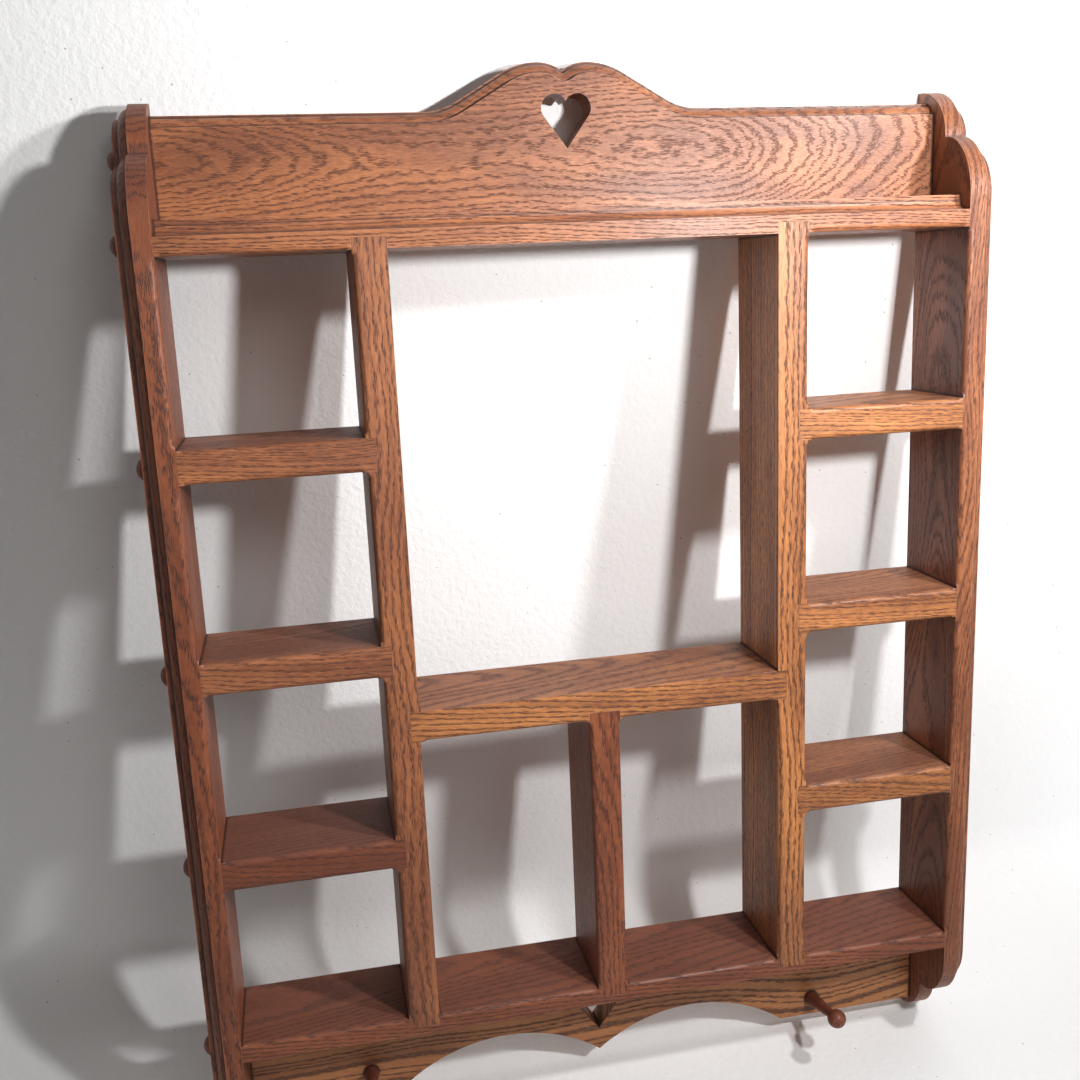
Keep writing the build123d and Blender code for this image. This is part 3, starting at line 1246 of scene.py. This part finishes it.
class Pegs:
    """The two pegs, turned with a ball end."""

    node = "pegs"
    seed = 60.0

    def dress(self, pegs: bpy.types.Object, patterns: Patterns) -> None:
        """Gives the pegs their finish.

        Args:
            pegs: The CAD node's object.
            patterns: The shared groups.
        """
        finish = WoodFinish("turned_wood_pegs", TURNED_MAPLE, turned_cut(self.seed))
        material = finish.material(patterns, middle_of(self.node))
        for slot in pegs.material_slots:
            slot.material = material
        LOG.info("pegs: %s", material.name)


@dataclass(frozen=True)
class Lamp:
    """One soft lamp: a glowing disc, or a spot where it has a cone, in degrees."""

    name: str
    place: tuple[float, float, float]
    aim: tuple[float, float, float]
    size: float
    power: float
    colour: tuple[float, float, float] = (1.0, 1.0, 1.0)
    cone: float = 0.0

    def build(self) -> None:
        """Makes the lamp and points it."""
        data = bpy.data.lights.new(self.name, "SPOT" if self.cone else "AREA")
        if self.cone:
            data.spot_size = math.radians(self.cone)
            data.spot_blend = 1.0
            data.shadow_soft_size = self.size
        else:
            data.shape = "DISK"
            data.size = self.size
        data.energy = self.power
        data.color = self.colour
        lamp = new_object(self.name, data)
        lamp.location = self.place
        ahead = Vector(self.aim) - Vector(self.place)
        lamp.rotation_euler = ahead.to_track_quat("-Z", "Y").to_euler()
        LOG.info("lamp %s", self.name)


@dataclass(frozen=True)
class Plaster:
    """A matt paint with small dark specks, which isn't there when it is seen from behind."""

    name: str = "backdrop_paint"
    colour: Colour = shade(246, 246, 246)
    speck: Colour = shade(120, 118, 116)
    mark_scale: tuple[float, float, float] = (230.0, 230.0, 230.0)
    mark_detail: tuple[float, float] = (2.0, 0.6)
    mark_depth: float = 0.0006
    speck_scale: float = 110.0
    speck_chance: tuple[float, float] = (0.55, 0.75)
    speck_edge: tuple[float, float] = (0.035, 0.075)
    speck_share: float = 0.7
    rough: float = 0.7
    shine: float = 0.2

    def material(self) -> bpy.types.Material:
        """Makes the material.

        Returns:
            The new material.
        """
        made, bench = new_material(self.name)
        place = bench.node("ShaderNodeTexCoord").outputs["Object"]
        marks = bench.noise(bench.vector("MULTIPLY", place, self.mark_scale), *self.mark_detail)
        specks = bench.cells(place, self.speck_scale)
        chosen = bench.step(bench.parts(specks.outputs["Color"])[0], *self.speck_chance)
        dot = bench.step(specks.outputs["Distance"], *self.speck_edge, self.speck_share, 0.0)
        paint = {
            "Base Color": bench.mix(bench.math("MULTIPLY", dot, chosen), self.colour, self.speck),
            "Roughness": self.rough,
            "Specular IOR Level": self.shine,
            "Normal": bench.relief(marks.outputs["Fac"], self.mark_depth),
        }
        skin = bench.fed("ShaderNodeBsdfPrincipled", paint)
        clear = bench.node("ShaderNodeBsdfTransparent")
        side = bench.node("ShaderNodeNewGeometry")
        both = bench.node("ShaderNodeMixShader")
        bench.in_order(both, (side.outputs["Backfacing"], skin.outputs[0], clear.outputs[0]))
        bench.fed("ShaderNodeOutputMaterial", {"Surface": both.outputs[0]})
        return made


@dataclass
class Studio:
    """The camera, the lamps, and the plain wall and floor that the shelf leans on.

    Sizes are in metres, and the lens and sensor in millimetres. The wall leans over the shelf by
    `wall_slope` of its height, and is turned by `wall_turn`, in radians, about the upright line
    through the middle of the shelf's back.
    """

    camera_place: tuple[float, float, float] = (-0.16583, -0.71798, -0.06458)
    camera_turn: float = math.radians(-11.274)
    camera_dip: float = math.radians(12.446)
    camera_roll: float = math.radians(-2.507)
    lens: float = 39.24
    sensor: float = 36.0
    nearest: float = 0.01
    wall_slope: float = 0.185
    wall_turn: float = -0.025
    wall_meets: float = 0.0745
    floor_drop: float = 0.590
    sweep: float = 0.05
    sweep_facets: int = 24
    extent: float = 6.0
    room_light: float = 0.03
    room_colour: Colour = (1.0, 0.95, 0.9, 1.0)
    white: Colour = (1.0, 1.0, 1.0, 1.0)
    lamps: tuple[Lamp, ...] = (
        Lamp("near_lamp", (0.24, -0.565, -0.012), (-0.05, 0.0, -0.06), 0.05, 4.0),
        Lamp("side_lamp", (0.38, -0.44, 0.105), (-0.2, 0.0, -0.06), 0.05, 3.5),
        Lamp("room_fill", (0.6, -2.2, 0.9), (0.1, 0.0, -0.25), 0.9, 6.2, (1.0, 0.97, 0.94)),
        Lamp("beam", (0.95, -1.25, -0.2), (0.68, 0.08, -0.42), 0.1, 38.0, (0.96, 0.98, 1.0), 30.0),
    )

    def camera(self) -> None:
        """Makes the camera at the photograph's viewing angle."""
        turn, dip, roll = self.camera_turn, self.camera_dip, self.camera_roll
        level = Vector((math.cos(turn), math.sin(turn), 0.0))
        ahead = Vector((-level.y * math.cos(dip), level.x * math.cos(dip), -math.sin(dip)))
        above = level.cross(ahead)
        right = level * math.cos(roll) + above * math.sin(roll)
        upward = above * math.cos(roll) - level * math.sin(roll)
        data = bpy.data.cameras.new("camera")
        data.lens = self.lens
        data.sensor_width = self.sensor
        data.clip_start = self.nearest
        made = new_object("camera", data)
        turned = Matrix((right, upward, -ahead)).transposed().to_4x4()
        made.matrix_world = Matrix.Translation(self.camera_place) @ turned
        bpy.context.scene.camera = made

    def backdrop(self) -> None:
        """Makes the wall, which slopes away below the crest, swept into a floor square to it."""
        lean = math.atan(self.wall_slope)
        outward = Vector((0.0, -math.cos(lean), -math.sin(lean)))
        upward = Vector((0.0, -math.sin(lean), math.cos(lean)))
        meets = Vector((0.0, 0.0, self.wall_meets))
        corner = meets - upward * (self.floor_drop + meets.dot(upward))
        sheet = bmesh.new()
        points = [corner + upward * self.extent, corner, corner + outward * self.extent]
        line = [sheet.verts.new(point - Vector((self.extent, 0.0, 0.0))) for point in points]
        edges = [sheet.edges.new(pair) for pair in zip(line, line[1:])]
        swept = bmesh.ops.extrude_edge_only(sheet, edges=edges)
        moved = [item for item in swept["geom"] if isinstance(item, bmesh.types.BMVert)]
        bmesh.ops.translate(sheet, vec=(2 * self.extent, 0.0, 0.0), verts=moved)
        at_corner = [vert for vert in sheet.verts if (vert.co - corner).yz.length < SAME_SPOT]
        inner = [edge for edge in sheet.edges if all(vert in at_corner for vert in edge.verts)]
        bmesh.ops.bevel(
            sheet,
            geom=inner,
            offset=self.sweep,
            affect="EDGES",
            segments=self.sweep_facets,
            profile=0.5,
            offset_type="OFFSET",
            clamp_overlap=False,
            material=-1,
        )
        turned = Matrix.Rotation(self.wall_turn, 3, "Z")
        bmesh.ops.rotate(sheet, verts=sheet.verts, cent=ORIGIN, matrix=turned)
        sheet.normal_update()
        facing = [face for face in sheet.faces if face.normal.dot(outward + upward) < 0]
        bmesh.ops.reverse_faces(sheet, faces=facing)
        mesh = new_mesh("backdrop", sheet)
        mesh.shade_smooth()
        mesh.materials.append(Plaster().material())
        new_object("backdrop", mesh)

    def light(self) -> None:
        """Makes the lamps, and the world, white where it is seen and dim and warm as light."""
        for lamp in self.lamps:
            lamp.build()
        world = bpy.data.worlds.new("room")
        bpy.context.scene.world = world
        world.use_nodes = True
        world.node_tree.nodes.clear()
        bench = Bench(world.node_tree)
        rays = bench.node("ShaderNodeLightPath").outputs
        seen = bench.math("MAXIMUM", rays["Is Camera Ray"], rays["Is Transmission Ray"])
        seen = bench.math("MAXIMUM", seen, rays["Is Glossy Ray"])
        room = {
            "Color": bench.mix(seen, self.room_colour, self.white),
            "Strength": bench.math("MULTIPLY_ADD", seen, 1.0 - self.room_light, self.room_light),
        }
        glow = bench.fed("ShaderNodeBackground", room)
        bench.fed("ShaderNodeOutputWorld", {"Surface": glow.outputs[0]})

    def build(self) -> None:
        """Builds the camera, the backdrop and the light."""
        self.camera()
        self.backdrop()
        self.light()


def main() -> None:
    """Builds the scene in order."""
    logging.basicConfig(level=logging.INFO, format="%(message)s")
    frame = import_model()
    bpy.context.scene.view_settings.view_transform = "Standard"
    Studio().build()
    patterns = Patterns()
    Boards(frame["nodes"], patterns).dress()
    Fasteners().build(patterns)
    Pegs().dress(frame["nodes"][Pegs.node], patterns)


if __name__ == "__main__":
    main()
